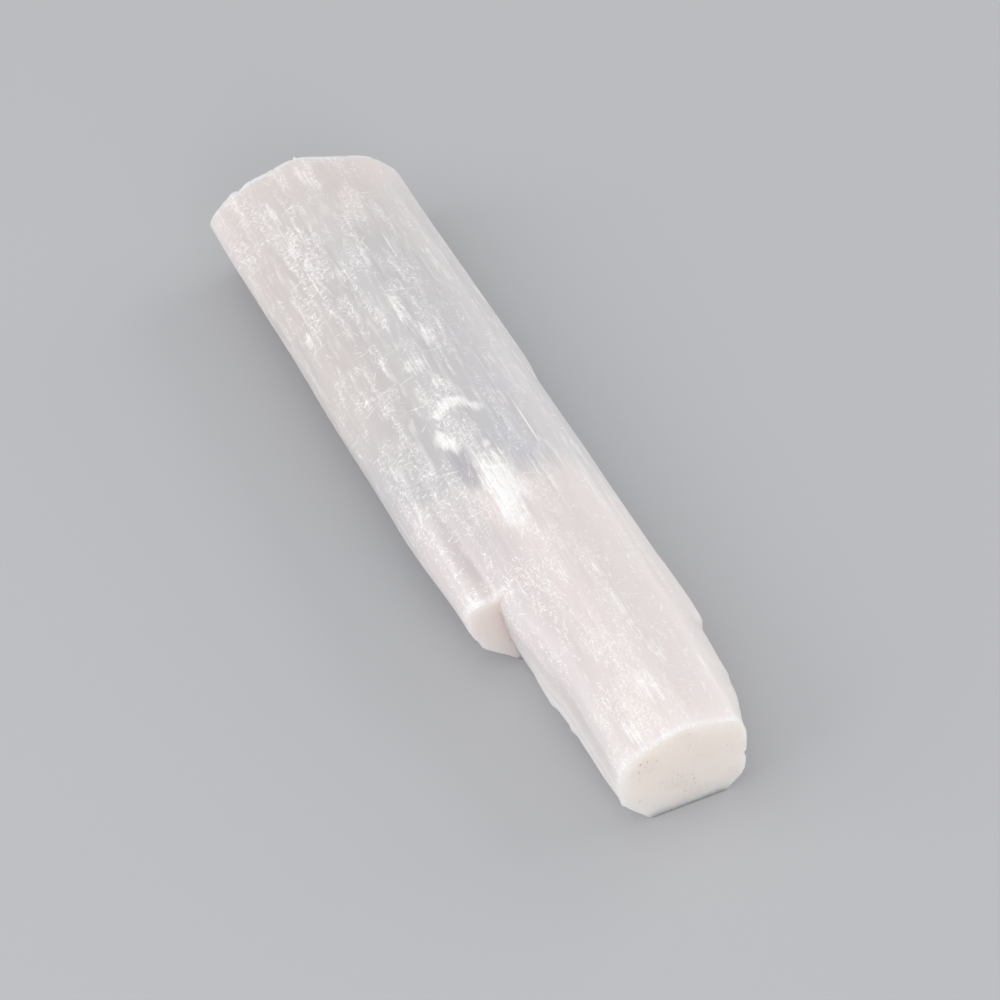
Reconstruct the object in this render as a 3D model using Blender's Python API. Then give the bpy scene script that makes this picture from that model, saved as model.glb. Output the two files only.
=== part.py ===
"""A raw selenite stick: one fibrous gypsum crystal, sawn square across both ends.

The stick lies along X on a flat base, with Z up. Its cross-section is what a set of long cleavage
facets leaves between them. Each facet keeps one bearing, and its distance from the stick's axis
changes slowly along the length. On the -Y side a lobe of the crystal ends short of the +X end in a
step, and only the narrower part goes on past it. Sizes are in millimetres and MM makes them metres.
"""

import math

import bmesh
import bpy

MM = 0.001

LENGTH = 120.0
FAR_X = -LENGTH / 2
NEAR_X = LENGTH / 2
STEP_X = 29.5  # where the lobe stops
AXIS_HEIGHT = 7.5  # the facets' axis above the base

RIDGE_SHARPNESS = 50.0  # higher rounds the ridges between facets less
RIM = 0.25  # worn bevel round each sawn end
STEP_RIM = 0.4  # worn bevel round the step
CLEFT_LEAST = 0.05  # a narrower difference between lobe and neck is no step

RING_POINTS = 92
LOBE_STATIONS = 23
NECK_STATIONS = 10
LEDGE_STATIONS = (39.8, 40.3, 40.8, 49.4, 50.0, 50.6)  # across the two small ledges on the +Y side
MERGE = 0.001

# Name, bearing of the facet's outward side in degrees (0 is +Y, 90 is up), and its distance from the
# axis at places along X.
BODY_FACETS = (
    ("lower_right", 316, ((FAR_X, 11.6), (10, 12.2), (NEAR_X, 11.8))),
    ("right_wall", 2, ((FAR_X, 15.0), (-15, 15.7), (36, 15.9), (50, 14.6), (NEAR_X, 11.6))),
    ("right_shoulder", 24, ((FAR_X, 14.4), (-15, 15.1), (-9.5, 14.3), (10, 14.7), (25, 14.8),
                            (38, 15.8), (39.8, 15.9), (40.8, 14.1), (49.4, 14.0), (50.6, 13.4),
                            (54, 13.4), (NEAR_X, 12.0))),
    ("right_eave", 46, ((FAR_X, 11.7), (10, 12.4), (40, 12.4), (NEAR_X, 11.7))),
    ("right_roof", 73, ((FAR_X, 9.3), (NEAR_X, 9.3))),
    ("left_roof", 106, ((FAR_X, 10.4), (0, 10.3), (NEAR_X, 8.0))),
    ("left_shoulder", 136, ((FAR_X, 13.6), (0, 13.5), (STEP_X, 14.2), (NEAR_X, 13.0))),
    ("left_wall", 168, ((FAR_X, 16.5), (-20, 15.3), (STEP_X, 14.0), (NEAR_X, 13.6))),
    ("left_flank", 203, ((FAR_X, 14.5), (-20, 13.6), (8, 12.9), (STEP_X, 11.6), (NEAR_X, 11.4))),
    ("lower_left", 230, ((FAR_X, 9.3), (0, 9.8), (STEP_X, 9.4), (NEAR_X, 9.0))),
)

# These cut only the neck, which is what goes on past the step.
NECK_FACETS = (
    ("neck_roof", 122, ((STEP_X, 10.8), (NEAR_X, 8.0))),
    ("neck_shoulder", 152, ((STEP_X, 10.4), (44, 8.2), (NEAR_X, 7.6))),
    ("neck_wall_high", 182, ((STEP_X, 8.6), (48, 6.2), (NEAR_X, 6.4))),
    ("neck_wall_low", 197, ((STEP_X, 7.0), (35, 7.0), (40, 7.4), (44, 6.8), (48, 6.3),
                            (NEAR_X, 6.6))),
    ("neck_chamfer", 222, ((STEP_X, 8.7), (48, 6.3), (NEAR_X, 6.6))),
)

# A shallow groove follows one bearing along the lobe's shoulder, and its depth changes along X.
GROOVE_BEARING = 146
GROOVE_HALF_WIDTH = 2.5
GROOVE_DEPTHS = ((FAR_X, 0.8), (-48, 0.25), (-5, 0.2), (12, 0.45), (STEP_X, 0.5))


def smooth_between(table, x):
    """The table's value at x, easing from each of its places to the next."""
    if x <= table[0][0]:
        return table[0][1]
    for (x0, low), (x1, high) in zip(table, table[1:]):
        if x <= x1:
            t = (x - x0) / (x1 - x0)
            return low + (high - low) * t * t * (3 - 2 * t)
    return table[-1][1]


def radius(facets, angle, x):
    """How far the crystal reaches from its axis at this angle, with softly rounded ridges."""
    total = 0.0
    for _, bearing, table in facets:
        toward = math.cos(angle - math.radians(bearing))
        if toward > 0:
            total += (toward / smooth_between(table, x)) ** RIDGE_SHARPNESS
    return total ** (-1 / RIDGE_SHARPNESS)


def ring_point(reach, angle, x):
    """The point on the skin at this reach and angle, held above the flat base."""
    down = math.sin(angle)
    if reach * down < -AXIS_HEIGHT:
        reach = -AXIS_HEIGHT / down
    return (x * MM, reach * math.cos(angle) * MM, (AXIS_HEIGHT + reach * down) * MM)


def angles():
    """The angles of a ring's points, evenly round the axis."""
    return [2 * math.pi * (i + 0.5) / RING_POINTS for i in range(RING_POINTS)]


def lobe_reach(angle, x):
    """How far the whole section reaches, lobe and all, with the groove let into its shoulder."""
    reach = radius(BODY_FACETS, angle, x)
    if abs(math.degrees(angle) - GROOVE_BEARING) < GROOVE_HALF_WIDTH:
        reach -= smooth_between(GROOVE_DEPTHS, x)
    return reach


def lobe_ring(x, rim=0.0):
    """The whole section, drawn in by the rim's bevel."""
    return [ring_point(lobe_reach(a, x) - rim, a, x) for a in angles()]


def neck_ring(x, rim=0.0):
    """The narrower section past the step, drawn in by the rim's bevel."""
    facets = BODY_FACETS + NECK_FACETS
    return [ring_point(radius(facets, a, x) - rim, a, x) for a in angles()]


def step_rings():
    """The two rings of the step's flat face: the lobe's bevelled edge, and the neck inside it."""
    outer, inner = [], []
    for a in angles():
        whole = lobe_reach(a, STEP_X)
        neck = radius(BODY_FACETS + NECK_FACETS, a, STEP_X)
        if whole - neck < CLEFT_LEAST:
            neck = whole
        outer.append(ring_point(max(neck, whole - STEP_RIM), a, STEP_X))
        inner.append(ring_point(neck, a, STEP_X))
    return outer, inner


def evenly(start, end, count):
    """Places from start to end, both included."""
    return [start + (end - start) * i / count for i in range(count + 1)]


def all_rings():
    """Every ring from the far end to the near end."""
    lobe = evenly(FAR_X + RIM, STEP_X - STEP_RIM, LOBE_STATIONS)
    neck = evenly(STEP_X, NEAR_X - RIM, NECK_STATIONS)[1:]
    neck = sorted(set(neck) | set(LEDGE_STATIONS))
    rings = [lobe_ring(FAR_X, RIM)] + [lobe_ring(x) for x in lobe]
    rings.extend(step_rings())
    rings.extend(neck_ring(x) for x in neck)
    rings.append(neck_ring(NEAR_X, RIM))
    return rings


def skin(rings):
    """A closed mesh through the rings, with a flat sawn face at each end."""
    shape = bmesh.new()
    loops = [[shape.verts.new(point) for point in ring] for ring in rings]
    for ring, following in zip(loops, loops[1:]):
        for i in range(RING_POINTS):
            j = (i + 1) % RING_POINTS
            shape.faces.new((ring[i], ring[j], following[j], following[i]))
    shape.faces.new(loops[0])
    shape.faces.new(loops[-1])
    bmesh.ops.remove_doubles(shape, verts=shape.verts, dist=MERGE * MM)
    bmesh.ops.recalc_face_normals(shape, faces=shape.faces)
    return shape


def centre_on_base(shape):
    """Moves the mesh so that the origin is under the middle of its box, on the base."""
    for axis in (0, 1):
        places = [v.co[axis] for v in shape.verts]
        middle = (min(places) + max(places)) / 2
        for v in shape.verts:
            v.co[axis] -= middle


def satin_white():
    """Milky white gypsum with a silky surface."""
    material = bpy.data.materials.new("satin_white")
    material.use_nodes = True
    shader = material.node_tree.nodes["Principled BSDF"]
    shader.inputs["Base Color"].default_value = (0.80, 0.76, 0.75, 1.0)
    shader.inputs["Roughness"].default_value = 0.42
    shader.inputs["Metallic"].default_value = 0.0
    shader.inputs["IOR"].default_value = 1.52
    return material


def main():
    """Clears the scene and builds the crystal."""
    for old in list(bpy.data.objects):
        bpy.data.objects.remove(old)
    shape = skin(all_rings())
    centre_on_base(shape)
    mesh = bpy.data.meshes.new("selenite_crystal")
    shape.to_mesh(mesh)
    shape.free()
    mesh.materials.append(satin_white())
    mesh.shade_smooth()
    mesh.set_sharp_from_angle(angle=math.radians(35))
    crystal = bpy.data.objects.new("selenite_crystal", mesh)
    bpy.context.scene.collection.objects.link(crystal)


main()
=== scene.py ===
"""Dresses a raw selenite stick in a small studio.

The stick is one fibrous gypsum crystal that lies along X on a flat base. Its fine mesh follows the
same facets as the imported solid, with the fibres' relief on its skin. Sizes are in millimetres until
they reach a mesh, where MM makes them metres.
"""

from __future__ import annotations

import logging
import math
import sys
from dataclasses import dataclass, field
from enum import Enum
from functools import reduce
from operator import mul

import bmesh
import bpy
import numpy as np
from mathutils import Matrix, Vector

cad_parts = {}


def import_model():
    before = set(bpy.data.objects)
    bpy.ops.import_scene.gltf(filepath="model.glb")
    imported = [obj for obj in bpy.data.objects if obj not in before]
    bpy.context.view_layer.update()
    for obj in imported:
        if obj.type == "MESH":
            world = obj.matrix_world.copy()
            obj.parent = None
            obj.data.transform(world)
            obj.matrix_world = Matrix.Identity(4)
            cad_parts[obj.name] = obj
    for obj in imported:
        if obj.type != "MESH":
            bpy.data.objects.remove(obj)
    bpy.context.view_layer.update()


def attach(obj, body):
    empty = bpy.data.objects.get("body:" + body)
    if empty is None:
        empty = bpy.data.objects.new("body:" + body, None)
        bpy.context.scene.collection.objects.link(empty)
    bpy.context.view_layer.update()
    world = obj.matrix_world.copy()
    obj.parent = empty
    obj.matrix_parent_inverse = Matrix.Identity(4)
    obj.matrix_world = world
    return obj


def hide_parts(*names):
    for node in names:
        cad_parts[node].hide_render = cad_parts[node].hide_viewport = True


LOG = logging.getLogger("selenite")
MM = 0.001
NODE = "selenite_crystal"
BODY = "root"
PIECE = "selenite_stick"
SEAM_BEARING = -90.0  # the rings start and end under the base
TINY = 1e-9  # keeps a division off zero

Span = tuple[float, float]
Table = tuple[Span, ...]
Colour = tuple[float, float, float]
Socket = bpy.types.NodeSocket


def eased(table: Table, x: float) -> float:
    """Reads a table of places and values, easing from each place to the next.

    Args:
        table: Places along X with the value at each, in order.
        x: The place to read.

    Returns:
        The value there.
    """
    if x <= table[0][0]:
        return table[0][1]
    for (x0, low), (x1, high) in zip(table, table[1:]):
        if x <= x1:
            t = (x - x0) / (x1 - x0)
            return low + (high - low) * t * t * (3 - 2 * t)
    return table[-1][1]


def evenly(start: float, end: float, count: int) -> list[float]:
    """Places from start to end, both included."""
    return [start + (end - start) * i / count for i in range(count + 1)]


class Signal:
    """A socket of a node tree, on which ordinary maths adds Math nodes."""

    def __init__(self, board: Board, socket: Socket) -> None:
        """Wraps an output socket of the board's tree."""
        self.board = board
        self.socket = socket

    def __add__(self, other: Signal | float) -> Signal:
        """self + other."""
        return self.board.maths("ADD", self, other)

    def __radd__(self, other: float) -> Signal:
        """other + self."""
        return self.board.maths("ADD", other, self)

    def __sub__(self, other: Signal | float) -> Signal:
        """self - other."""
        return self.board.maths("SUBTRACT", self, other)

    def __rsub__(self, other: float) -> Signal:
        """other - self."""
        return self.board.maths("SUBTRACT", other, self)

    def __mul__(self, other: Signal | float) -> Signal:
        """self * other."""
        return self.board.maths("MULTIPLY", self, other)

    def __rmul__(self, other: float) -> Signal:
        """other * self."""
        return self.board.maths("MULTIPLY", other, self)

    def __truediv__(self, other: Signal | float) -> Signal:
        """self / other."""
        return self.board.maths("DIVIDE", self, other)

    def __rtruediv__(self, other: float) -> Signal:
        """other / self."""
        return self.board.maths("DIVIDE", other, self)

    def __abs__(self) -> Signal:
        """The signal without its sign."""
        return self.board.maths("ABSOLUTE", self)

    def __lt__(self, other: Signal | float) -> Signal:
        """1 where self is under other, else 0."""
        return self.board.maths("LESS_THAN", self, other)

    def rise(self, start: float, end: float) -> Signal:
        """Eases from 0 at start to 1 at end; start may be the larger.

        Args:
            start: The signal's value where the result is 0.
            end: The signal's value where the result is 1.

        Returns:
            The eased signal, held between 0 and 1.
        """
        flip = start > end
        low, high = (end, start) if flip else (start, end)
        node = self.board.add(
            "ShaderNodeMapRange",
            {"interpolation_type": "SMOOTHSTEP"},
            {"Value": self, "From Min": low, "From Max": high},
        )
        result = Signal(self.board, node.outputs["Result"])
        return 1 - result if flip else result


class Board:
    """A node tree that is wired by name."""

    def __init__(self, tree: bpy.types.NodeTree) -> None:
        """Wraps the tree."""
        self.tree = tree

    def add(self, kind: str, settings: dict | None = None, values: dict | None = None) -> bpy.types.Node:
        """Adds a node, sets it up and then feeds its sockets.

        Args:
            kind: The node's type.
            settings: Attributes such as a Math node's operation, which are set first.
            values: Socket name or index to a Signal, a socket or a plain value.

        Returns:
            The node.
        """
        node = self.tree.nodes.new(kind)
        for name, value in (settings or {}).items():
            setattr(node, name, value)
        for name, value in (values or {}).items():
            self.feed(node.inputs[name], value)
        return node

    def feed(self, socket: Socket, value: object) -> None:
        """Links a signal or a socket to an input, or sets the input's own value."""
        if isinstance(value, Signal):
            self.tree.links.new(value.socket, socket)
        elif isinstance(value, Socket):
            self.tree.links.new(value, socket)
        else:
            socket.default_value = value

    def maths(self, operation: str, *values: Signal | float) -> Signal:
        """The result of a Math node that takes these values in order."""
        node = self.add("ShaderNodeMath", {"operation": operation}, dict(enumerate(values)))
        return Signal(self, node.outputs[0])

    def vector(self, operation: str, *values: object) -> Socket:
        """The vector of a Vector Math node that takes these values in order."""
        node = self.add("ShaderNodeVectorMath", {"operation": operation}, dict(enumerate(values)))
        return node.outputs["Vector"]

    def parts(self, socket: Socket) -> tuple[Signal, Signal, Signal]:
        """The three numbers of a vector."""
        node = self.add("ShaderNodeSeparateXYZ", values={"Vector": socket})
        return tuple(Signal(self, node.outputs[i]) for i in range(3))

    def blend(self, below: object, above: object, share: Signal | float) -> Socket:
        """Mixes two colours.

        Args:
            below: The colour where share is 0, as a socket or an RGB triple.
            above: The colour where share is 1.
            share: How much of above shows.

        Returns:
            The mixed colour's socket.
        """
        node = self.add("ShaderNodeMix", {"data_type": "RGBA"}, {"Factor": share})
        for name, colour in (("A", below), ("B", above)):
            socket = next(s for s in node.inputs if s.name == name and s.type == "RGBA")
            self.feed(socket, (*colour, 1.0) if isinstance(colour, tuple) else colour)
        return next(s for s in node.outputs if s.type == "RGBA")

    def cells(self, place: object) -> bpy.types.Node:
        """Adds a node that splits a plane into cells, each with its own middle and random colour."""
        return self.add("ShaderNodeTexVoronoi", {"voronoi_dimensions": "2D"},
                        {"Vector": place, "Scale": 1.0})


@dataclass(frozen=True)
class Facet:
    """A long flat of the crystal, by its outward bearing and its distance from the axis along X."""

    bearing: float
    distances: Table


@dataclass(frozen=True)
class Spur:
    """A small spur that stands out from the skin."""

    x: float
    bearing: float
    height: float
    half_x: float
    half_bearing: float

    def lift(self, x: float, bearings: np.ndarray) -> np.ndarray:
        """How far it lifts the skin at this place, for each bearing."""
        along = max(1 - ((x - self.x) / self.half_x) ** 2, 0.0)
        around = np.clip(1 - ((bearings - self.bearing) / self.half_bearing) ** 2, 0, 1)
        return self.height * along * around


@dataclass(frozen=True)
class Ledge:
    """A low cleavage ledge: the skin drops at one bearing and comes back up over the run past it."""

    start: float
    end: float
    bearing: float
    drop: float
    run: float = 9.0
    fade: float = 3.0

    def lift(self, x: float, bearings: np.ndarray) -> np.ndarray:
        """How far it lifts the skin at this place, which is nothing or less, for each bearing."""
        along = np.clip(min(x - self.start, self.end - x) / self.fade, 0, 1)
        past = bearings - self.bearing
        return -self.drop * along * np.where(past >= 0, np.clip(1 - past / self.run, 0, 1), 0)


class Part(Enum):
    """The two stretches of the stick."""

    LOBE = "lobe"
    NECK = "neck"


class Finish(Enum):
    """The two kinds of surface on the stick."""

    SKIN = "skin"
    SAWN = "sawn"


@dataclass
class StickForm:
    """The crystal's outer form: facets round an axis, sawn square at both ends, with one step."""

    length: float = 120.0
    step_x: float = 29.5
    axis_height: float = 7.5
    sharpness: float = 30.0
    fullness: float = 1.018
    rim: float = 0.25
    step_rim: float = 0.4
    cleft_least: float = 0.05
    points: int = 320
    pitch: float = 0.65
    cap_rows: int = 22
    skin_radius: float = 12.5
    body: tuple[Facet, ...] = (
        Facet(316, ((-60, 11.6), (10, 12.2), (60, 11.8))),
        Facet(2, ((-60, 15.0), (-15, 15.7), (36, 15.9), (50, 14.6), (60, 11.6))),
        Facet(24, ((-60, 14.4), (-15, 15.1), (-9.5, 14.3), (10, 14.7), (25, 14.8), (38, 15.8),
                   (39.8, 15.9), (40.8, 14.1), (49.4, 14.0), (50.6, 13.4), (54, 13.4), (60, 12.0))),
        Facet(46, ((-60, 11.7), (10, 12.4), (40, 12.4), (60, 11.7))),
        Facet(73, ((-60, 9.3), (60, 9.3))),
        Facet(106, ((-60, 10.4), (0, 10.3), (60, 8.0))),
        Facet(136, ((-60, 13.6), (0, 13.5), (29.5, 14.2), (60, 13.0))),
        Facet(168, ((-60, 16.5), (-20, 15.3), (29.5, 14.0), (60, 13.6))),
        Facet(203, ((-60, 14.5), (-20, 13.3), (8, 12.6), (29.5, 11.3), (60, 11.4))),
        Facet(230, ((-60, 9.3), (0, 9.8), (29.5, 9.4), (60, 9.0))),
    )
    neck: tuple[Facet, ...] = (
        Facet(122, ((29.5, 10.8), (60, 8.0))),
        Facet(152, ((29.5, 10.4), (44, 8.2), (60, 7.6))),
        Facet(182, ((29.5, 8.6), (48, 6.4), (60, 6.4))),
        Facet(197, ((29.5, 7.3), (35, 7.2), (40, 7.4), (44, 7.0), (48, 6.7), (54, 6.6), (60, 6.2))),
        Facet(222, ((29.5, 8.8), (48, 6.7), (54, 6.6), (60, 6.2))),
    )
    spurs: tuple[Spur, ...] = (
        Spur(-60, 101, 0.45, 1.2, 2.0),
        Spur(41.5, 203, 0.18, 0.9, 7.0),
        Spur(46.5, 205, 0.22, 0.8, 7.0),
        Spur(60, 205, 0.20, 1.2, 4.0),
    )
    ledges: tuple[Ledge, ...] = (
        Ledge(-58, -36, 122, 0.14),
        Ledge(-46, -24, 152, 0.16),
        Ledge(-42, -30, 63, 0.12),
        Ledge(-22, -4, 88, 0.10),
        Ledge(-16, 6, 139, 0.20),
        Ledge(-6, 12, 46, 0.14),
        Ledge(12, 29.5, 154, 0.22),
        Ledge(14, 34, 70, 0.12),
        Ledge(30, 60, 168, 0.25, 12.0, 1.0),
        Ledge(36, 60, 188, 0.20, 8.0),
        Ledge(40, 60, 60, 0.14),
        Ledge(-60, -20, 192, 0.20),
        Ledge(-25, 20, 184, 0.18),
        Ledge(-50, 5, 10, 0.18),
        Ledge(-5, 38, 22, 0.16),
    )
    groove_bearing: float = 146.0
    groove_half_width: float = 5.0
    groove_depths: Table = ((-60, 0.45), (-48, 0.2), (-5, 0.2), (12, 0.4), (29.5, 0.5))
    weld: float = 0.001
    angles: np.ndarray = field(init=False)

    def __post_init__(self) -> None:
        """Spaces the ring's points evenly, starting under the base, where the seam is hidden."""
        turns = 2 * math.pi * (np.arange(self.points) + 0.5) / self.points
        self.angles = math.radians(SEAM_BEARING) + turns

    def reach(self, x: float, part: Part) -> np.ndarray:
        """How far the skin is from the axis, all round.

        Args:
            x: The place along the stick.
            part: Whether the neck's own facets cut too.

        Returns:
            One distance for each of the ring's angles.
        """
        facets = self.body + (self.neck if part is Part.NECK else ())
        total = np.zeros(self.points)
        for facet in facets:
            toward = np.maximum(np.cos(self.angles - math.radians(facet.bearing)), 0)
            total += (toward / eased(facet.distances, x)) ** self.sharpness
        reach = self.fullness * total ** (-1 / self.sharpness)
        bearings = np.degrees(self.angles)
        if part is Part.LOBE:
            off = (bearings - self.groove_bearing) / self.groove_half_width
            reach -= eased(self.groove_depths, x) * np.clip(1 - off ** 2, 0, 1) ** 2
        return reach + sum(mark.lift(x, bearings) for mark in self.spurs + self.ledges)

    def ring(self, x: float, reach: np.ndarray) -> np.ndarray:
        """The ring's points at this place, held above the flat base.

        Args:
            x: The place along the stick.
            reach: One distance for each angle.

        Returns:
            An array of X, Y and Z for each point.
        """
        down = np.sin(self.angles)
        lowest = np.where(down < 0, self.axis_height / np.maximum(-down, TINY), np.inf)
        reach = np.minimum(reach, lowest)
        across = reach * np.cos(self.angles)
        up = self.axis_height + reach * down
        return np.stack([np.full(self.points, x), across, up], axis=1)

    def step_rows(self) -> list[np.ndarray]:
        """Rows of the step's flat face, from the lobe's worn edge in to the neck."""
        whole = self.reach(self.step_x, Part.LOBE)
        neck = np.minimum(self.reach(self.step_x, Part.NECK), whole)
        neck = np.where(whole - neck < self.cleft_least, whole, neck)
        outer = np.maximum(neck, whole - self.step_rim)
        shares = evenly(0.0, 1.0, self.cap_rows)
        return [self.ring(self.step_x, outer + (neck - outer) * share) for share in shares]

    def cap_rows_of(self, ring: np.ndarray) -> list[np.ndarray]:
        """Rows of a sawn end, from its rim in to its middle."""
        middle = ring.mean(axis=0)
        return [middle + (ring - middle) * share for share in evenly(1.0, 0.0, self.cap_rows)]

    def skin_rows(self, start: float, end: float, part: Part) -> list[np.ndarray]:
        """Rings along one stretch of the stick, both ends included."""
        count = math.ceil((end - start) / self.pitch)
        return [self.ring(x, self.reach(x, part)) for x in evenly(start, end, count)]

    def sheets(self) -> list[tuple[Finish, list[np.ndarray], tuple[np.ndarray, np.ndarray]]]:
        """The skin and the sawn faces in order from the far end to the near end.

        Returns:
            For each, its finish, its rings, and how much of an edge its first and last rings are.
        """
        half = self.length / 2
        whole, neck = (self.reach(self.step_x, part) for part in Part)
        notch = np.where(whole - neck < self.cleft_least, 0.0, 1.0)
        every = np.ones(self.points)
        far = self.ring(-half, self.reach(-half, Part.LOBE) - self.rim)
        near = self.ring(half, self.reach(half, Part.NECK) - self.rim)
        lobe = self.skin_rows(-half + self.rim, self.step_x - self.step_rim, Part.LOBE)
        neck = self.skin_rows(self.step_x, half - self.rim, Part.NECK)
        step = self.step_rows()
        return [
            (Finish.SAWN, self.cap_rows_of(far)[::-1], (every, every)),
            (Finish.SKIN, [far, *lobe, step[0]], (every, notch)),
            (Finish.SAWN, step, (notch, notch)),
            (Finish.SKIN, [step[-1], *neck[1:], near], (notch, every)),
            (Finish.SAWN, self.cap_rows_of(near), (every, every)),
        ]

    def add_sheet(self, shape: bmesh.types.BMesh, finish: Finish, rows: list[np.ndarray],
                  rims: tuple[np.ndarray, np.ndarray]) -> None:
        """Adds the faces between rows, with their UV and the marks that the relief reads.

        Args:
            shape: The mesh so far.
            finish: Skin or sawn face.
            rows: Rings of points, each as long as the angles.
            rims: How much of an edge the first and the last rings are, for each angle.
        """
        uv = shape.loops.layers.uv["grain"]
        skin = shape.verts.layers.float["skin"]
        edge = shape.verts.layers.float["edge"]
        sawn = shape.faces.layers.float["sawn"]
        arc = 2 * math.pi * self.skin_radius / self.points
        loops = [[shape.verts.new(point * MM) for point in row] for row in rows]
        on_skin = finish is Finish.SKIN
        for row in loops[1:-1] if on_skin else []:
            for vertex in row:
                vertex[skin] = 1.0
        for pair, rim in ((loops[:2], rims[0]), (loops[-2:], rims[1])) if on_skin else ():
            for row in pair:
                for vertex, share in zip(row, rim):
                    vertex[edge] = share
        for r, (row, following) in enumerate(zip(loops, loops[1:])):
            for i in range(self.points):
                j = (i + 1) % self.points
                face = shape.faces.new((row[i], row[j], following[j], following[i]))
                face[sawn] = 0.0 if on_skin else 1.0
                corners = ((r, i), (r, i + 1), (r + 1, i + 1), (r + 1, i))
                for loop, (at_row, at) in zip(face.loops, corners):
                    x, y, z = rows[at_row][at % self.points]
                    loop[uv].uv = (x, at * arc) if on_skin else (y, z)

    def mesh(self, name: str) -> bpy.types.Mesh:
        """Joins the sheets in one closed mesh, centred over its base.

        Args:
            name: The mesh's name.

        Returns:
            The mesh, with a UV map in millimetres along and round the stick.
        """
        shape = bmesh.new()
        shape.loops.layers.uv.new("grain")
        shape.verts.layers.float.new("skin")
        shape.verts.layers.float.new("edge")
        shape.faces.layers.float.new("sawn")
        for finish, rows, rims in self.sheets():
            self.add_sheet(shape, finish, rows, rims)
        bmesh.ops.remove_doubles(shape, verts=shape.verts, dist=self.weld * MM)
        bmesh.ops.recalc_face_normals(shape, faces=shape.faces)
        for axis in (0, 1):
            places = [vertex.co[axis] for vertex in shape.verts]
            middle = (min(places) + max(places)) / 2
            for vertex in shape.verts:
                vertex.co[axis] -= middle
        mesh = bpy.data.meshes.new(name)
        shape.to_mesh(mesh)
        shape.free()
        return mesh


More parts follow.
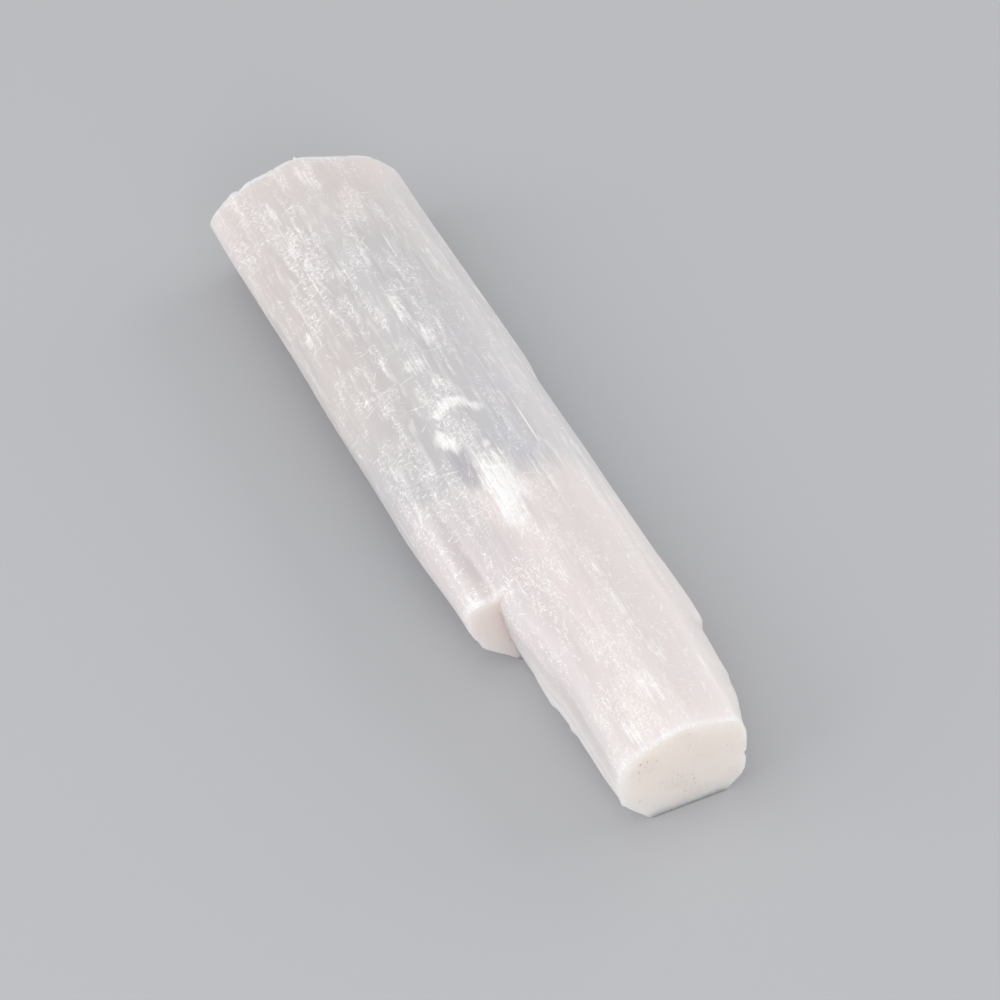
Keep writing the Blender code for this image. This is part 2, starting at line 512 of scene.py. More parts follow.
@dataclass(frozen=True)
class FibreRelief:
    """Shallow ridges and furrows that run along the fibres, pressed into the skin."""

    SIZES = ("Ledge Width", "Ledge Length", "Ledge Depth", "Fibre Width", "Fibre Length", "Fibre Depth",
             "Chip Size", "Chip Depth")
    ledge_width: float = 2.4
    ledge_length: float = 45.0
    ledge_depth: float = 0.14
    ledge_octaves: float = 1.0
    fibre_width: float = 0.7
    fibre_length: float = 14.0
    fibre_depth: float = 0.05
    fibre_octaves: float = 2.0
    ridged: Span = (0.3, 0.7)
    chip_size: float = 1.6
    chip_depth: float = 0.3
    chip_octaves: float = 2.0
    chipped: Span = (0.5, 0.72)
    off_floor: Span = (0.2, 1.5)
    seed: int = 5

    def interface(self, tree: bpy.types.NodeTree) -> None:
        """Gives the tree its named inputs and its output."""
        faces = tree.interface
        faces.new_socket("Geometry", in_out="INPUT", socket_type="NodeSocketGeometry")
        for name in self.sizes():
            faces.new_socket(name, in_out="INPUT", socket_type="NodeSocketFloat")
        for name in ("Skin Finish", "Sawn Finish"):
            faces.new_socket(name, in_out="INPUT", socket_type="NodeSocketMaterial")
        faces.new_socket("Geometry", in_out="OUTPUT", socket_type="NodeSocketGeometry")

    @staticmethod
    def noise(board: Board, spot: Socket, seed: Socket, octaves: float) -> Signal:
        """Noise around 0.5 at a place that is counted in the noise's own cycles."""
        node = board.add("ShaderNodeTexNoise", {"noise_dimensions": "4D"},
                         {"Vector": spot, "W": seed, "Scale": 1.0, "Detail": octaves})
        return Signal(board, node.outputs[0])

    @staticmethod
    def mark(board: Board, name: str) -> Signal:
        """A mark that the form left on its mesh."""
        node = board.add("GeometryNodeInputNamedAttribute", {"data_type": "FLOAT"}, {"Name": name})
        return Signal(board, node.outputs["Attribute"])

    def depth(self, board: Board, given: bpy.types.NodeOutputs, place: Socket) -> Signal:
        """How far each point moves along its normal.

        Args:
            board: The tree.
            given: The tree's named inputs.
            place: Each point's position.

        Returns:
            The distance in metres, below 0 because it is inwards, and fading to 0 at the floor.
        """
        fibres = 0.0
        for kind, octaves in (("Ledge", self.ledge_octaves), ("Fibre", self.fibre_octaves)):
            wide, long = given[f"{kind} Width"], given[f"{kind} Length"]
            rates = board.add("ShaderNodeCombineXYZ", values={"X": long, "Y": wide, "Z": wide}).outputs[0]
            ridge = self.noise(board, board.vector("DIVIDE", place, rates), given["Seed"], octaves)
            fibres = fibres + (ridge.rise(*self.ridged) - 1) * Signal(board, given[f"{kind} Depth"])
        spot = board.add("ShaderNodeVectorMath", {"operation": "SCALE"},
                         {0: place, "Scale": 1 / Signal(board, given["Chip Size"])}).outputs[0]
        chips = self.noise(board, spot, given["Seed"], self.chip_octaves).rise(*self.chipped)
        chips = chips * self.mark(board, "edge") * Signal(board, given["Chip Depth"])
        low, high = self.off_floor
        height = board.parts(place)[2].rise(low * MM, high * MM)
        return (fibres * self.mark(board, "skin") - chips) * height

    def tree(self) -> bpy.types.NodeTree:
        """Builds the Geometry Nodes tree, with its sizes as named inputs."""
        tree = bpy.data.node_groups.new("fibre relief", "GeometryNodeTree")
        self.interface(tree)
        board = Board(tree)
        given = board.add("NodeGroupInput").outputs
        place = board.add("GeometryNodeInputPosition").outputs[0]
        normal = board.add("GeometryNodeInputNormal").outputs[0]
        pressed = board.add("ShaderNodeVectorMath", {"operation": "SCALE"},
                            {0: normal, "Scale": self.depth(board, given, place)})
        moved = board.add("GeometryNodeSetPosition",
                          values={"Geometry": given["Geometry"], "Offset": pressed.outputs[0]})
        whole = board.add("GeometryNodeRealizeInstances", values={"Geometry": moved.outputs[0]})
        dressed = board.add("GeometryNodeSetMaterial",
                            values={"Geometry": whole.outputs[0], "Material": given["Skin Finish"]})
        dressed = board.add("GeometryNodeSetMaterial",
                            values={"Geometry": dressed.outputs[0], "Material": given["Sawn Finish"],
                                    "Selection": self.mark(board, "sawn")})
        board.add("NodeGroupOutput", values={"Geometry": dressed.outputs[0]})
        return tree

    def sizes(self) -> dict[str, float]:
        """Each named input with its value in metres, and the seed."""
        sizes = {name: getattr(self, name.lower().replace(" ", "_")) * MM for name in self.SIZES}
        return {**sizes, "Seed": float(self.seed)}

    def apply(self, piece: bpy.types.Object, finishes: dict[str, bpy.types.Material]) -> None:
        """Presses the relief into a piece, which stays a plain mesh.

        Args:
            piece: The object to change.
            finishes: The material of each material input.
        """
        modifier = piece.modifiers.new("fibre relief", "NODES")
        modifier.node_group = self.tree()
        given = {**self.sizes(), **finishes}
        for item in modifier.node_group.interface.items_tree:
            if item.in_out == "INPUT" and item.name in given:
                modifier[item.identifier] = given[item.name]
        graph = bpy.context.evaluated_depsgraph_get()
        mesh = bpy.data.meshes.new_from_object(piece.evaluated_get(graph))
        piece.modifiers.remove(modifier)
        piece.data = mesh


def tone(red: int, green: int, blue: int) -> Colour:
    """A colour from its values out of 255, as the linear numbers that shaders take."""
    def linear(value: int) -> float:
        """One channel without its display curve."""
        share = value / 255
        return share / 12.92 if share <= 0.04045 else ((share + 0.055) / 1.055) ** 2.4
    return linear(red), linear(green), linear(blue)


@dataclass(frozen=True)
class Ground:
    """A point of the stick's skin, as the signals that its finish is worked out from."""

    board: Board
    place: Socket
    grain: Socket
    x: Signal
    bearing: Signal
    spot: Socket
    edge: Signal

    @classmethod
    def on(cls, board: Board) -> Ground:
        """Reads the coordinates, in millimetres, and the bearing round the axis, in degrees."""
        coordinates = board.add("ShaderNodeTexCoord")
        place = board.vector("MULTIPLY", coordinates.outputs["Object"], (1 / MM,) * 3)
        grain = board.add("ShaderNodeUVMap", {"uv_map": "grain"}).outputs[0]
        along, arc, _ = board.parts(grain)
        bearing = arc * math.degrees(1 / StickForm.skin_radius) + SEAM_BEARING
        spot = board.add("ShaderNodeCombineXYZ", values={"X": along, "Y": bearing}).outputs[0]
        edge = board.add("ShaderNodeAttribute", {"attribute_name": "edge"})
        return cls(board, place, grain, along, bearing, spot, Signal(board, edge.outputs["Fac"]))


@dataclass(frozen=True)
class Grain:
    """A pattern of soft noise, by its cycles in a millimetre along X, Y and Z."""

    SEED_STEPS = (7.3, 3.1, 5.7)  # how far a seed moves the pattern along each axis
    per_mm: tuple[float, float, float]
    octaves: float
    seed: float

    def on(self, ground: Ground) -> Signal:
        """Draws the pattern.

        Args:
            ground: The skin's signals.

        Returns:
            The noise, which stays around 0.5.
        """
        board, shift = ground.board, tuple(self.seed * step for step in self.SEED_STEPS)
        moved = board.vector("MULTIPLY_ADD", ground.place, self.per_mm, shift)
        values = {"Vector": moved, "Scale": 1.0, "Detail": self.octaves}
        return Signal(board, board.add("ShaderNodeTexNoise", values=values).outputs[0])


@dataclass(frozen=True)
class Zone:
    """A part of the skin with soft limits. Each fade runs from where it starts to where it is full."""

    along: tuple[Span, ...] = ()
    around: tuple[Span, ...] = ()

    def mask(self, ground: Ground) -> Signal:
        """All the zone's fades, multiplied."""
        fades = [ground.x.rise(*fade) for fade in self.along]
        fades += [ground.bearing.rise(*fade) for fade in self.around]
        return reduce(mul, fades)


@dataclass(frozen=True)
class Strokes:
    """Short scuffs, at most one in each cell of the skin, each with its own turn and strength."""

    cell: tuple[float, float]
    half_length: float
    half_width: float
    lean: float
    spread: float
    seed: float
    full_length: float = 0.2
    full_width: float = 0.3
    faintest: float = 0.35
    seed_step: tuple[float, float] = (17.0, 9.0)

    def mask(self, ground: Ground, share: Signal | float) -> Signal:
        """Draws the strokes.

        Args:
            ground: The skin's signals.
            share: The share of cells that hold a stroke.

        Returns:
            Up to 1 along the middle of a stroke, fading to 0 at its sides and tips.
        """
        board = ground.board
        moved = board.vector("ADD", ground.grain, (*(self.seed * step for step in self.seed_step), 0.0))
        spread = board.vector("DIVIDE", moved, (*self.cell, 1.0))
        cells = board.cells(spread)
        away = board.vector("SUBTRACT", spread, cells.outputs["Position"])
        along, across, _ = board.parts(board.vector("MULTIPLY", away, (*self.cell, 1.0)))
        pick, turn, strength = board.parts(cells.outputs["Color"])
        turn = (turn - 0.5) * math.radians(2 * self.spread) + math.radians(self.lean)
        cosine, sine = board.maths("COSINE", turn), board.maths("SINE", turn)
        length, width = abs(along * cosine + across * sine), abs(across * cosine - along * sine)
        length = length.rise(self.half_length, self.half_length * self.full_length)
        width = width.rise(self.half_width, self.half_width * self.full_width)
        return length * width * (pick < share) * (strength * (1 - self.faintest) + self.faintest)


@dataclass(frozen=True)
class Flaw:
    """A soft-edged oval mark, at a place along the stick and a bearing round it."""

    x: float
    bearing: float
    half_x: float
    half_bearing: float

    def inside(self, ground: Ground) -> Signal:
        """How far inside the oval a point is: 1 in the middle, 0 at the rim and less outside."""
        rates = (1 / self.half_x, 1 / self.half_bearing, 0.0)
        back = (-self.x * rates[0], -self.bearing * rates[1], 0.0)
        away = ground.board.vector("MULTIPLY_ADD", ground.spot, rates, back)
        square = ground.board.add("ShaderNodeVectorMath", {"operation": "DOT_PRODUCT"}, {0: away, 1: away})
        return 1 - Signal(ground.board, square.outputs["Value"])

    def mask(self, ground: Ground) -> Signal:
        """The oval with a soft rim."""
        return self.inside(ground).rise(0.0, 1.0)


Marks = tuple[tuple[Flaw | Zone, float], ...]


def total(marks: Marks, ground: Ground) -> Signal:
    """Adds up marks, each at its own share."""
    return sum(mark.mask(ground) * share for mark, share in marks)


@dataclass(frozen=True)
class Feathered:
    """Flaws just under the skin, with rims that are frayed along the fibres."""

    flaws: tuple[Flaw, ...]
    fray: float
    shrink: float
    rim: Span
    strength: float

    def glow(self, ground: Ground, fray: Signal) -> Signal:
        """Adds up the flaws.

        Args:
            ground: The skin's signals.
            fray: Noise around 0 that pushes the rims in and out.

        Returns:
            Their brightness.
        """
        push = fray * self.fray - self.shrink
        return sum((flaw.inside(ground) + push).rise(*self.rim) for flaw in self.flaws) * self.strength


@dataclass(frozen=True)
class Gypsum:
    """Milky gypsum, inside which light wanders a few millimetres before it comes out."""

    name: str
    roughness: float
    roughness_swing: float
    bump: float
    bump_depth: float
    wander: float = 6.0
    wander_tint: Colour = (1.0, 0.9, 0.85)
    refraction: float = 1.52

    def start(self) -> tuple[bpy.types.Material, Ground]:
        """An empty material, with the signals of its surface."""
        material = bpy.data.materials.new(self.name)
        material.use_nodes = True
        material.node_tree.nodes.clear()
        return material, Ground.on(Board(material.node_tree))

    def finish(self, board: Board, colour: Socket, swing: Signal, height: Signal) -> None:
        """Wires the shader to the material's output.

        Args:
            board: The material's tree.
            colour: The surface's colour.
            swing: Noise that makes the surface rougher in places.
            height: Relief too fine for the mesh.
        """
        bump = board.add("ShaderNodeBump", values={
            "Strength": self.bump, "Distance": self.bump_depth * MM, "Height": height})
        shader = board.add("ShaderNodeBsdfPrincipled", values={
            "Base Color": colour, "Roughness": swing * self.roughness_swing + self.roughness,
            "IOR": self.refraction, "Normal": bump.outputs[0], "Subsurface Weight": 1.0,
            "Subsurface Radius": self.wander_tint, "Subsurface Scale": self.wander * MM})
        board.add("ShaderNodeOutputMaterial", values={"Surface": shader.outputs[0]})


@dataclass(frozen=True)
class Front:
    """A soft change from one colour to the next, which the clouds push to and fro."""

    start: float
    end: float
    sway: float

    def past(self, where: Signal, clouds: Signal) -> Signal:
        """0 up to the start, and 1 from the end on."""
        return (where + clouds * self.sway).rise(self.start, self.end)


@dataclass(frozen=True)
class Milk:
    """The skin's own colour: cool and grey past the middle, and warmer towards the stepped end."""

    warm: Colour = tone(226, 218, 217)
    tip: Colour = tone(229, 222, 220)
    grey: Colour = tone(203, 201, 202)
    beige: Colour = tone(213, 205, 202)
    far: Colour = tone(217, 209, 207)
    cool: Colour = tone(206, 204, 206)
    blue: Colour = tone(198, 199, 207)
    clouds: Grain = Grain((0.06, 0.1, 0.1), 2.0, 3.0)
    left_side: Span = (100, 150)
    right_side: Span = (40, 15)
    beige_from: Span = (10, -15)
    beige_share: float = 0.8
    far_from: Front = Front(-36, -56, 30)
    cool_around: Front = Front(88, 62, 60)
    cool_along: Front = Front(-38, -8, 20)
    blue_patch: Flaw = Flaw(6, 68, 11, 22)
    blue_share: float = 0.5
    warm_from: float = 11.0
    warm_fringe: float = 12.0
    warm_top: Front = Front(-3, 3, 10)
    warm_side: Front = Front(-7, 12, 20)
    tip_from: Span = (40, 58)

    def colour(self, ground: Ground, fibres: Signal) -> Socket:
        """Mixes the colour.

        Args:
            ground: The skin's signals.
            fibres: Noise drawn out along the fibres.

        Returns:
            The colour's socket.
        """
        board, x, bearing = ground.board, ground.x, ground.bearing
        clouds = self.clouds.on(ground) - 0.5
        left = bearing.rise(*self.left_side)
        colour = board.blend(self.grey, self.beige, left * x.rise(*self.beige_from) * self.beige_share)
        colour = board.blend(colour, self.far, self.far_from.past(x, clouds))
        window = self.cool_around.past(bearing, clouds) * self.cool_along.past(x, clouds)
        colour = board.blend(colour, self.cool, window)
        colour = board.blend(colour, self.blue, self.blue_patch.mask(ground) * self.blue_share)
        beyond = x + (fibres - 0.5) * self.warm_fringe - self.warm_from
        side = board.maths("MAXIMUM", left, bearing.rise(*self.right_side))
        warm = self.warm_top.past(beyond, clouds) * (1 - side) + self.warm_side.past(beyond, clouds) * side
        colour = board.blend(colour, self.warm, warm)
        return board.blend(colour, self.tip, x.rise(*self.tip_from))


@dataclass(frozen=True)
class Scuffs:
    """Short strokes in every direction, with powder between them."""

    patches: Grain = Grain((0.16, 0.3, 0.3), 3.0, 4.0)
    rows: Grain = Grain((0.08, 0.8, 0.8), 2.0, 8.0)
    dust: Grain = Grain((1.3, 1.8, 1.8), 3.0, 5.0)
    specks: Grain = Grain((2.2, 2.8, 2.8), 2.0, 11.0)
    top: Zone = Zone(around=((45, 75), (168, 145)))
    near: Zone = Zone(along=((8, 20),))
    far_side: Zone = Zone(along=((-38, -52),), around=((135, 155),))
    far_side_share: float = 0.25
    glitter: Flaw = Flaw(8, 147, 13, 17)
    glitter_rim: Span = (0.0, 0.5)
    glitter_share: float = 0.5
    crowded: Span = (0.45, 0.60)
    spared: float = 0.75
    dusty: Span = (0.4, 0.75)
    speckled: Span = (0.54, 0.68)
    brightest: float = 1.4
    across: float = 85.0

    def marks(self, ground: Ground, clear: Signal) -> tuple[Signal, Signal]:
        """Draws the scuffs.

        Args:
            ground: The skin's signals.
            clear: 1 where the scuffing is mostly spared.

        Returns:
            The strokes and the powder.
        """
        top, near = self.top.mask(ground), self.near.mask(ground)
        mixed = self.patches.on(ground) * 0.6 + self.rows.on(ground) * 0.4 + near * 0.03
        dense = mixed.rise(*self.crowded) * (top * 0.8 + 0.2)
        glitter = self.glitter.mask(ground).rise(*self.glitter_rim) * self.glitter_share
        dense = ground.board.maths("MAXIMUM", dense, glitter)
        dense = dense + self.far_side.mask(ground) * self.far_side_share
        dense = dense * (1 - clear * self.spared)
        layers = (
            (Strokes((1.2, 1.4), 0.60, 0.14, self.across, 35.0, 1.0), dense * (1 - near) * 0.8),
            (Strokes((0.7, 0.8), 0.34, 0.12, self.across, 60.0, 2.0), dense * 0.7),
            (Strokes((1.2, 1.1), 0.55, 0.13, 0.0, 90.0, 3.0), dense * 0.7 + near * 0.08 + 0.02),
            (Strokes((2.0, 1.2), 0.95, 0.13, 0.0, 30.0, 4.0), dense * 0.6 + 0.02),
            (Strokes((0.5, 0.5), 0.24, 0.11, 0.0, 90.0, 5.0), dense * 0.7),
            (Strokes((2.6, 2.2), 1.20, 0.13, 0.0, 60.0, 6.0), top * 0.25),
            (Strokes((4.5, 3.5), 1.80, 0.14, self.across, 25.0, 8.0), top * (1 - near) * 0.3),
        )
        strokes = sum(layer.mask(ground, share) for layer, share in layers) * (near * 0.2 + 1)
        powder = self.dust.on(ground).rise(*self.dusty) + self.specks.on(ground).rise(*self.speckled) * 0.9
        return ground.board.maths("MINIMUM", strokes, self.brightest), dense * powder * (1 - near * 0.5)


@dataclass(frozen=True)
class Sheen:
    """The bright fibres, long lines, scratches and worn rims, with painted glow on the thin translucent
    sides and the far end's rim.
    """

    smears: Grain = Grain((0.22, 1.0, 1.0), 3.0, 6.0)
    smeared: Span = (0.52, 0.75)
    combed: Span = (0.55, 0.8)
    worn: Span = (0.4, 0.6)
    long_lines: Strokes = Strokes((12.0, 2.6), 5.0, 0.14, 0.0, 2.0, 7.0)
    long_crowding: float = 0.3
    side_lines: Strokes = Strokes((7.0, 0.8), 3.2, 0.10, 0.0, 1.5, 9.0)
    flank: Zone = Zone(around=((150, 165),))
    crest: Zone = Zone(around=((55, 80), (165, 140)))
    far_half: Zone = Zone(along=((0, -1),))
    marks: Marks = (
        (Flaw(2.5, 44.6, 5.8, 0.9), 0.8), (Flaw(-37.6, 63.2, 4.4, 0.7), 0.8),
        # painted glow on the thin translucent sides and the far end's left corner; the two flaws above are
        # real scratches
        (Zone(around=((178, 205),)), 0.2), (Zone(around=((52, 24),)), 0.18),
        (Zone(along=((28, 36),), around=((150, 170),)), 0.2),
        (Zone(along=((-50, -59),), around=((160, 180),)), 0.3),
    )

    def brightness(self, ground: Ground, middle: Signal, fibres: Signal) -> Signal:
        """Adds up the sheen.

        Args:
            ground: The skin's signals.
            middle: 1 on the stick's middle.
            fibres: Noise drawn out along the fibres.

        Returns:
            The share of white.
        """
        smears = self.smears.on(ground)
        silk = smears.rise(*self.smeared) * (middle * 0.25 + 0.08) + fibres.rise(*self.combed) * 0.1
        side_lines = self.side_lines.mask(ground, self.flank.mask(ground) * 0.4 + 0.05) * 0.6
        lines = self.long_lines.mask(ground, self.long_crowding) + side_lines
        # painted glow along the far end's rim, brightest on the crest; the rest of the rim's whitening is
        # real wear
        painted_far_rim_glow = self.far_half.mask(ground) * (self.crest.mask(ground) * 0.6 + 0.1)
        rim = ground.edge * (painted_far_rim_glow + 0.1 + smears.rise(*self.worn) * 0.15)
        return silk + lines * 0.4 + rim + total(self.marks, ground)


@dataclass(frozen=True)
class SatinSkin:
    """The long fibrous faces: milky gypsum with silky streaks, scuffs and feathered bright flaws, with
    painted shade and painted glow.
    """

    gypsum: Gypsum = Gypsum("satin skin", roughness=0.38, roughness_swing=0.15, bump=0.35, bump_depth=0.1)
    milk: Milk = Milk()
    scuffs: Scuffs = Scuffs()
    sheen: Sheen = Sheen()
    # plum is the darker tone of clearer crystal and grey streaks, and also the colour of the painted shade
    plum: Colour = tone(184, 180, 186)
    chalk: Colour = tone(252, 250, 249)
    fibres: Grain = Grain((0.12, 3.0, 3.0), 3.0, 1.0)
    streaks: Grain = Grain((0.05, 0.9, 0.9), 2.0, 2.0)
    grit: Grain = Grain((0.8, 1.6, 1.6), 3.0, 9.0)
    middle: Zone = Zone(along=((-56, -40), (26, 12)))
    pane: Feathered = Feathered((Flaw(8.7, 114.5, 5.4, 10),), 1.4, 0.0, (0.0, 0.9), 1.0)
    pane_share: float = 0.85
    streaked: Span = (0.5, 0.8)
    # painted shade: beside the groove, in two creases on the neck, in the trough past the middle and on the
    # upper left facets towards the step
    painted_shade_marks: Marks = (
        (Flaw(20.5, 146, 8, 5), 0.22), (Flaw(50, 187, 7, 1.6), 0.5), (Flaw(56.5, 178, 4.5, 1.6), 0.5),
        (Zone(along=((-56, -40), (26, 12)), around=((116, 134), (176, 160))), 0.12),
        (Zone(along=((10, 26),), around=((100, 120), (174, 160))), 0.2),
    )
    stroke_share: float = 0.5
    powder_share: float = 0.3
    fibre_fray: float = 2.4
    grit_fray: float = 2.0
    fibre_height: float = 0.35
    streak_height: float = 0.3
    bright: tuple[Feathered, ...] = (
        Feathered((Flaw(13.2, 93, 7.6, 18), Flaw(18.0, 102, 5.6, 14)), 0.75, 0.0, (-0.1, 1.5), 0.75),
        Feathered((Flaw(10, 98, 10, 26),), 1.6, 0.7, (0.0, 0.9), 0.36),
        Feathered((
            Flaw(-55.5, 103, 3.0, 7), Flaw(-51, 136, 3.5, 3), Flaw(-42.5, 138, 2.5, 5),
            Flaw(-36, 93, 4.5, 4), Flaw(-24, 92, 7.0, 7), Flaw(-17, 82, 4.5, 9), Flaw(-26, 155, 2.5, 4),
            Flaw(-14, 126, 3.0, 4), Flaw(-11.5, 106, 2.4, 14), Flaw(-7, 98, 2.2, 5),
            Flaw(28, 153, 2.4, 4), Flaw(32, 65, 2.2, 4), Flaw(38.5, 66, 6.0, 6), Flaw(47, 58, 3.0, 7),
            Flaw(52, 81, 3.2, 10), Flaw(57, 114, 3.0, 9),
        ), 1.0, 0.3, (0.0, 1.0), 0.52),
        Feathered((
            Flaw(-1.4, 112, 1.2, 5), Flaw(-2.3, 105, 1.3, 7), Flaw(-2.9, 96, 1.6, 8),
            Flaw(-2.6, 87, 1.7, 8), Flaw(-1.3, 79, 1.6, 7), Flaw(3.0, 118, 2.4, 8), Flaw(4.6, 113, 2.6, 5),
        ), 0.5, 0.1, (0.0, 0.9), 0.65),
    )

    def material(self) -> bpy.types.Material:
        """Builds the material."""
        material, ground = self.gypsum.start()
        board = ground.board
        fibres, streaks, middle = self.fibres.on(ground), self.streaks.on(ground), self.middle.mask(ground)
        pane = self.pane.glow(ground, fibres - 0.5)
        # the clear pane and the streaks are the crystal's own darker tone; the painted shade marks add
        # painted shade
        dark = pane * self.pane_share + total(self.painted_shade_marks, ground)
        dark = dark + streaks.rise(*self.streaked) * (middle * 0.15 + 0.1)
        colour = board.blend(self.milk.colour(ground, fibres), self.plum, dark)

        strokes, powder = self.scuffs.marks(ground, pane)
        white = strokes * self.stroke_share + powder * self.powder_share
        white = white + self.sheen.brightness(ground, middle, fibres)
        fray = (fibres - 0.5) * self.fibre_fray + (self.grit.on(ground) - 0.5) * self.grit_fray
        white = white + sum(flaws.glow(ground, fray) for flaws in self.bright)
        colour = board.blend(colour, self.chalk, board.maths("MINIMUM", white, 1.0))
        self.gypsum.finish(board, colour, fibres, fibres * self.fibre_height + streaks * self.streak_height)
        return material


@dataclass(frozen=True)
class SawnFace:
    """The saw-cut ends and the step's face: smooth, creamy and finely pitted."""

    gypsum: Gypsum = Gypsum("sawn face", roughness=0.4, roughness_swing=0.1, bump=0.4, bump_depth=0.08)
    cream: Colour = tone(241, 232, 226)
    step: Colour = tone(222, 212, 210)
    pit: Colour = tone(196, 188, 180)
    chalk: Colour = tone(246, 242, 238)
    clouds: Grain = Grain((0.2, 0.22, 0.22), 2.0, 6.0)
    grit: Grain = Grain((3.0, 3.0, 3.0), 2.0, 7.0)
    saw: Grain = Grain((0.3, 2.6, 0.2), 2.0, 8.0)
    pit_layers: tuple[tuple[float, float, float], ...] = ((1.5, 0.60, 1.0), (0.9, 0.55, 2.0))
    pit_stretch: tuple[float, float] = (1.3, 0.8)
    pit_rim: Span = (0.10, -0.03)
    pit_width: float = 0.10
    pit_sway: float = 0.5
    pit_sway_rate: float = 3.0
    seed_step: float = 5.1
    crowded: Span = (0.35, 0.7)
    cloudy: Span = (0.45, 0.8)
    sawn: Span = (0.45, 0.7)
    gritty: Span = (0.6, 0.8)
    step_near: Span = (32, 28)
    step_far: Span = (0, 20)
    step_share: float = 0.8

    def pits(self, ground: Ground, clouds: Signal) -> Signal:
        """Draws the pits, at most one in each cell of a bent grid.

        Args:
            ground: The face's signals.
            clouds: Broad noise that crowds the pits together.

        Returns:
            How deep a pit is, and 0 between them.
        """
        board = ground.board
        noise = board.add("ShaderNodeTexNoise", values={"Vector": ground.grain, "Scale": self.pit_sway_rate})
        sway = board.vector("MULTIPLY", noise.outputs["Color"], (self.pit_sway, self.pit_sway, 0.0))
        bent = board.vector("ADD", ground.grain, sway)
        crowding = clouds.rise(*self.crowded) * 0.8 + 0.2
        pits = 0.0
        for size, share, seed in self.pit_layers:
            rates = (self.pit_stretch[0] / size, self.pit_stretch[1] / size, 0.0)
            cells = board.cells(board.vector("MULTIPLY_ADD", bent, rates, (seed * self.seed_step,) * 3))
            pick, width, depth = board.parts(cells.outputs["Color"])
            reach = Signal(board, cells.outputs["Distance"]) - width * self.pit_width
            pits = reach.rise(*self.pit_rim) * (pick < crowding * share) * depth + pits
        return pits

    def material(self) -> bpy.types.Material:
        """Builds the material."""
        material, ground = self.gypsum.start()
        board = ground.board
        clouds, grit, saw = (grain.on(ground) for grain in (self.clouds, self.grit, self.saw))
        pits = self.pits(ground, clouds)
        dark = pits * 0.8 + clouds.rise(*self.cloudy) * 0.15 + saw.rise(*self.sawn) * 0.04
        along = board.parts(ground.place)[0]
        on_step = along.rise(*self.step_near) * along.rise(*self.step_far) * self.step_share
        colour = board.blend(self.cream, self.pit, dark)
        colour = board.blend(colour, self.step, on_step)
        colour = board.blend(colour, self.chalk, ground.edge * 0.14 + grit.rise(*self.gritty) * 0.12)
        self.gypsum.finish(board, colour, grit, grit * 0.25 - pits)
        return material


@dataclass
class SeleniteStick:
    """The whole crystal, which is one piece."""

    form: StickForm = field(default_factory=StickForm)
    relief: FibreRelief = field(default_factory=FibreRelief)
    sharp_angle: float = 35.0

    def build(self) -> bpy.types.Object:
        """Makes the crystal and sets it on its frame.

        Returns:
            The finished piece.
        """
        piece = bpy.data.objects.new(PIECE, self.form.mesh(PIECE))
        bpy.context.scene.collection.objects.link(piece)
        finishes = {"Skin Finish": SatinSkin().material(), "Sawn Finish": SawnFace().material()}
        self.relief.apply(piece, finishes)
        piece.data.shade_smooth()
        piece.data.set_sharp_from_angle(angle=math.radians(self.sharp_angle))
        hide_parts(NODE)
        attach(piece, BODY)
        return piece


@dataclass(frozen=True)
class Softbox:
    """A square area light: where it hangs, its side and its power in watts."""

    name: str
    place: tuple[float, float, float]
    size: float
    power: float

    def hang(self) -> None:
        """Adds the light, which faces the stick."""
        light = bpy.data.lights.new(self.name, "AREA")
        light.size = self.size * MM
        light.energy = self.power
        box = bpy.data.objects.new(self.name, light)
        box.location = Vector(self.place) * MM
        box.rotation_euler = (-box.location).to_track_quat("-Z", "Y").to_euler()
        bpy.context.scene.collection.objects.link(box)


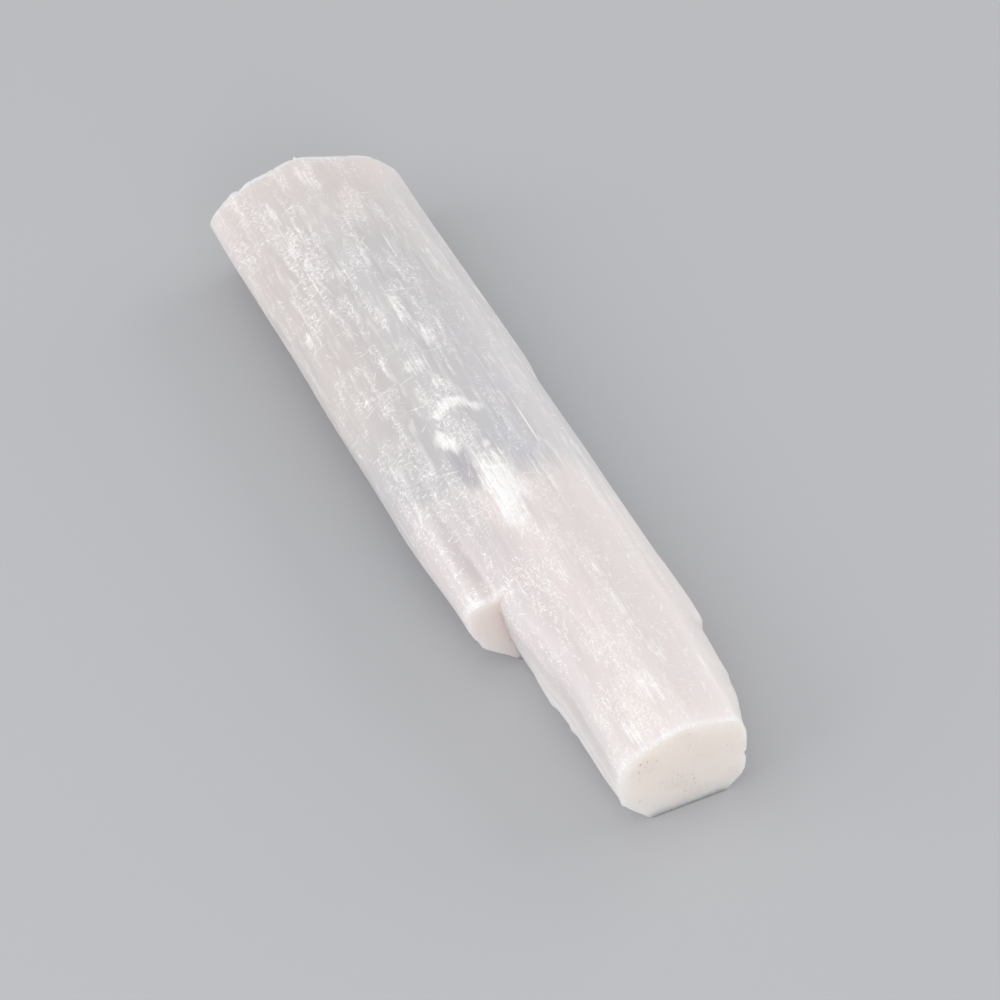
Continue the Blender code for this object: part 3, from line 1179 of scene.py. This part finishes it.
@dataclass
class Studio:
    """A pale floor, soft lights and the camera."""

    floor_size: float = 9000.0
    floor_drop: float = 0.1
    floor_tone: Colour = tone(186, 187, 190)
    floor_roughness: float = 0.9
    floor_gloss: float = 0.1
    aim: tuple[float, float, float] = (1.9, 4.0, 0.0)
    azimuth: float = 65.5
    elevation: float = 47.0
    distance: float = 367.1
    lens: float = 93.6
    sensor: float = 36.0
    clip: float = 10.0
    ambient: float = 0.64
    softboxes: tuple[Softbox, ...] = (
        Softbox("key", (-150.0, -250.0, 700.0), 600.0, 0.8),
        Softbox("left fill", (0.0, -650.0, 260.0), 600.0, 1.8),
        Softbox("right fill", (-100.0, 650.0, 300.0), 600.0, 1.4),
        Softbox("front fill", (650.0, -100.0, 260.0), 500.0, 1.3),
    )

    def floor(self) -> None:
        """Lays the floor just under the stick."""
        half, z = self.floor_size / 2 * MM, -self.floor_drop * MM
        corners = [(sx * half, sy * half, z) for sx, sy in ((-1, -1), (1, -1), (1, 1), (-1, 1))]
        mesh = bpy.data.meshes.new("floor")
        mesh.from_pydata(corners, [], [(0, 1, 2, 3)])
        material = bpy.data.materials.new("pale floor")
        material.use_nodes = True
        shader = material.node_tree.nodes["Principled BSDF"]
        shader.inputs["Base Color"].default_value = (*self.floor_tone, 1.0)
        shader.inputs["Roughness"].default_value = self.floor_roughness
        shader.inputs["Specular IOR Level"].default_value = self.floor_gloss
        mesh.materials.append(material)
        floor = bpy.data.objects.new("floor", mesh)
        bpy.context.scene.collection.objects.link(floor)

    def lights(self) -> None:
        """Hangs the softboxes and sets an even surround."""
        for box in self.softboxes:
            box.hang()
        world = bpy.data.worlds.new("surround")
        world.use_nodes = True
        surround = world.node_tree.nodes["Background"]
        surround.inputs["Color"].default_value = (1.0, 1.0, 1.0, 1.0)
        surround.inputs["Strength"].default_value = self.ambient
        bpy.context.scene.world = world
        bpy.context.scene.view_settings.view_transform = "Standard"

    def camera(self) -> None:
        """Sets the camera at the photograph's angle."""
        azimuth, elevation = math.radians(self.azimuth), math.radians(self.elevation)
        level = math.cos(elevation)
        back = Vector((math.sin(azimuth) * level, -math.cos(azimuth) * level, math.sin(elevation)))
        data = bpy.data.cameras.new("camera")
        data.lens = self.lens
        data.sensor_width = self.sensor
        data.clip_start = self.clip * MM
        camera = bpy.data.objects.new("camera", data)
        camera.location = (Vector(self.aim) + back * self.distance) * MM
        camera.rotation_euler = back.to_track_quat("Z", "Y").to_euler()
        bpy.context.scene.collection.objects.link(camera)
        bpy.context.scene.camera = camera

    def build(self) -> None:
        """Sets up the floor, the lights and the camera."""
        self.floor()
        self.lights()
        self.camera()


def main() -> None:
    """Builds every piece in order."""
    logging.basicConfig(level=logging.INFO, format="%(name)s: %(message)s", stream=sys.stdout)
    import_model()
    piece = SeleniteStick().build()
    LOG.info("%s has %d faces", piece.name, len(piece.data.polygons))
    Studio().build()
    LOG.info("studio is set")


if __name__ == "__main__":
    main()
